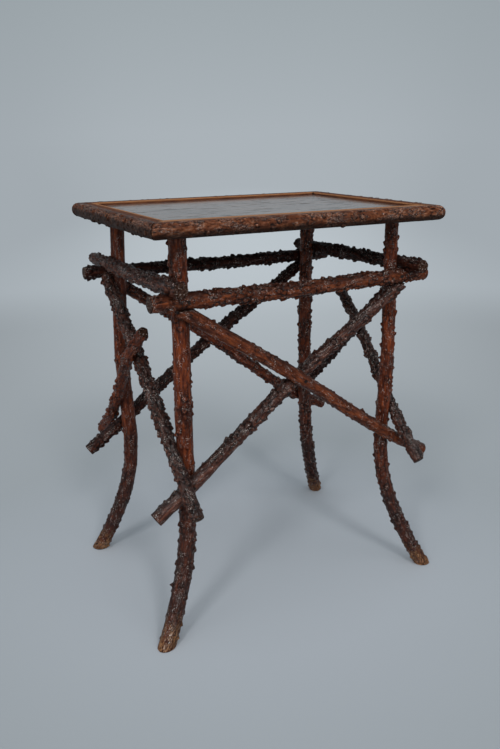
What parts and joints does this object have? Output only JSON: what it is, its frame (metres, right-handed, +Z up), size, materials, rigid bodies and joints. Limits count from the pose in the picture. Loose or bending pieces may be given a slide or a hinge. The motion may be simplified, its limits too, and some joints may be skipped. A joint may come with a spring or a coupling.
{
  "type": "rustic side table",
  "caption": "Small rectangular side table of bark-covered branches: splayed legs, lapped log-cabin rails, crossed braces and a recessed board edged with split branches.",
  "frame": {"origin": "on the floor, under the centre of the top", "axes": "+Z up; X along the long side of the top; -Y towards the front of the table"},
  "size_m": [0.6212, 0.51, 0.75],
  "materials": {
    "leg_bark": "varnished bark, glossy",
    "rail_bark": "varnished bark, glossy",
    "brace_bark": "varnished bark, glossy",
    "edging_wood": "split branch, bark outside and planed inside, varnished",
    "board_wood": "dark stained board under gloss varnish",
    "nail_iron": "blackened cut nail"
  },
  "bodies": {
    "root": {"leg_front_left": "leg_bark", "leg_front_right": "leg_bark", "leg_back_left": "leg_bark", "leg_back_right": "leg_bark", "rail_front": "rail_bark", "rail_back": "rail_bark", "rail_left": "rail_bark", "rail_right": "rail_bark", "brace_front_inner": "brace_bark", "brace_front_outer": "brace_bark", "brace_back_inner": "brace_bark", "brace_back_outer": "brace_bark", "brace_left_inner": "brace_bark", "brace_left_outer": "brace_bark", "brace_right_inner": "brace_bark", "brace_right_outer": "brace_bark", "edging_front": "edging_wood", "edging_back": "edging_wood", "edging_left": "edging_wood", "edging_right": "edging_wood", "board": "board_wood", "rail_nails": "nail_iron", "brace_nails": "nail_iron", "edging_nails": "nail_iron", "top_nails": "nail_iron"}
  },
  "joints": []
}
